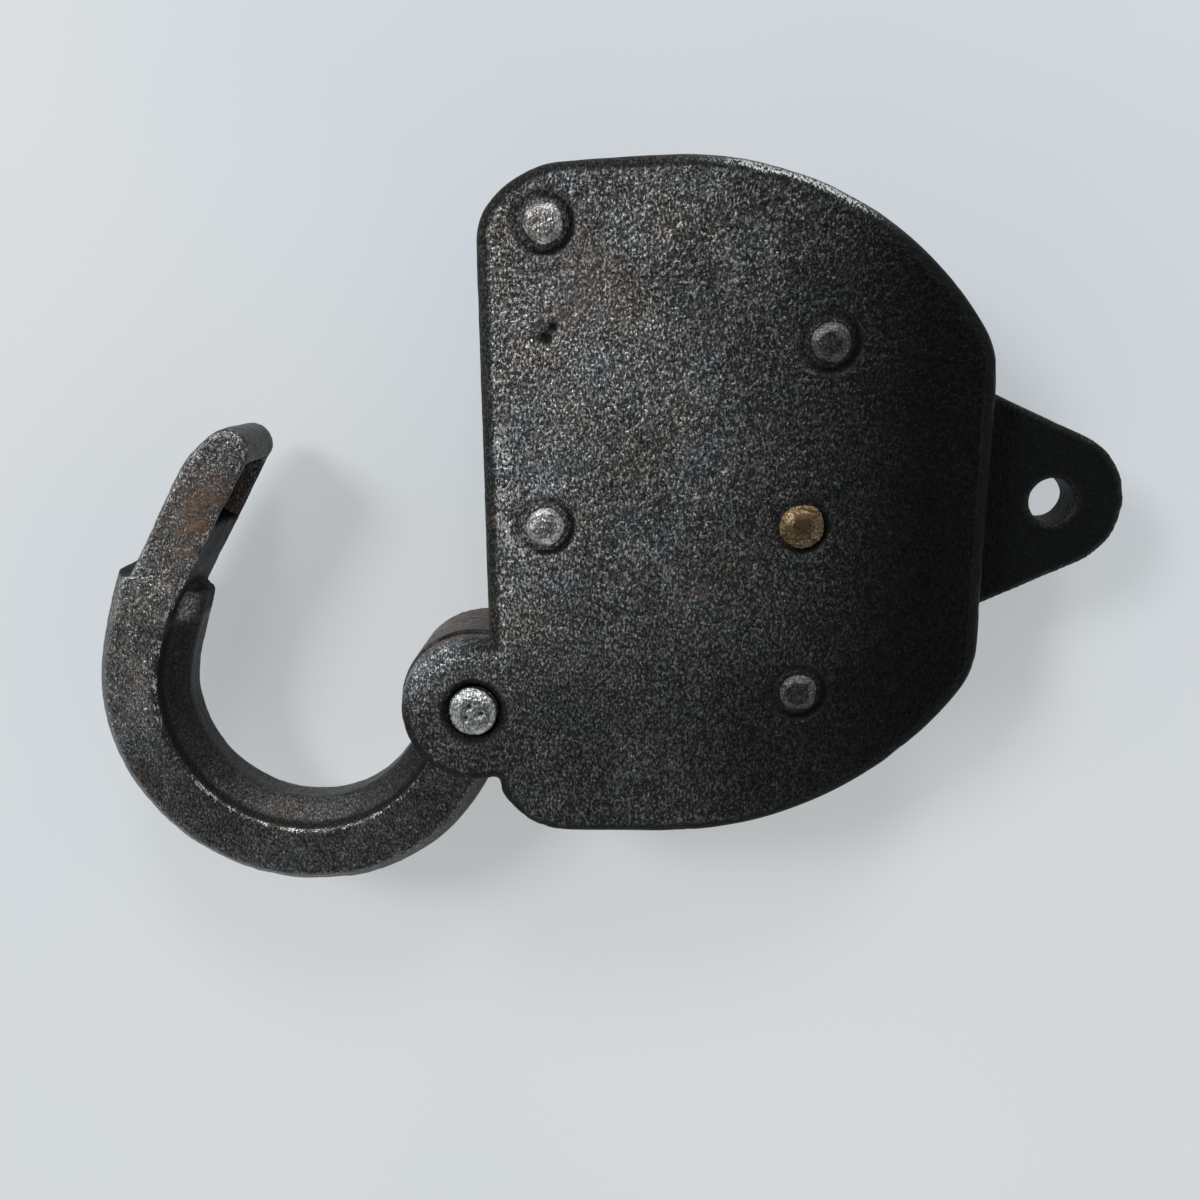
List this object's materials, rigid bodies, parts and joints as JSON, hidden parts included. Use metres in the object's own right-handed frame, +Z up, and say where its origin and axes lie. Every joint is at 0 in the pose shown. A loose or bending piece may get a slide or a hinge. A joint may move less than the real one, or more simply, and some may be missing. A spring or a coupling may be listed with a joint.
{
  "type": "padlock",
  "caption": "Rusty riveted D-shaped padlock, its hinged shackle swung fully open, with a sliding bolt, a swinging keyhole cover and a chain lug.",
  "frame": {"origin": "middle of the open lock's outline, on the surface that the lock lies on", "axes": "+X along the lock from the shackle to the chain lug, +Y across it towards the side away from the hinge, +Z up out of the marked plate"},
  "size_m": [0.1224, 0.0864, 0.0206],
  "materials": {
    "blackened_steel": "blackened sheet steel, sandy with fine rust and worn grey along the edges",
    "cast_frame": "dark rusted casting",
    "forged_steel": "forged bar, dark brown rust with bare worn ridges",
    "worn_steel": "hammered rivet ends, dull grey with rust in the marks",
    "aged_brass": "tarnished brown brass",
    "spring_steel": "blued spring strip"
  },
  "bodies": {
    "case": {"marked_plate": "blackened_steel", "keyhole_plate": "blackened_steel", "case_frame": "cast_frame", "hinge_pin": "worn_steel", "corner_rivet": "worn_steel", "edge_rivet": "worn_steel", "upper_pillar_rivet": "worn_steel", "lower_pillar_rivet": "worn_steel", "key_post": "aged_brass", "marked_side_ward": "blackened_steel", "keyhole_side_ward": "blackened_steel", "bolt_guide_pin": "worn_steel", "bolt_spring": "spring_steel", "spring_rivet": "worn_steel", "cover_rivet": "worn_steel", "cover_washer": "worn_steel"},
    "shackle": {"shackle": "forged_steel"},
    "bolt": {"bolt": "worn_steel"},
    "cover": {"keyhole_cover": "blackened_steel"}
  },
  "joints": [
    {"name": "shackle_swing", "type": "hinge", "parent": "case", "child": "shackle", "pos_m": [-0.01405, -0.0186, 0.01075], "axis": [0, 0, 1], "range_deg": [-71.6, 0]},
    {"name": "bolt_slide", "type": "slide", "parent": "case", "child": "bolt", "axis": [0, 1, 0], "range_m": [0, 0.006]},
    {"name": "cover_swing", "type": "hinge", "parent": "case", "child": "cover", "pos_m": [0.01235, 0.0036, 0.0015], "axis": [0, 0, 1], "range_deg": [-110, 110]}
  ]
}
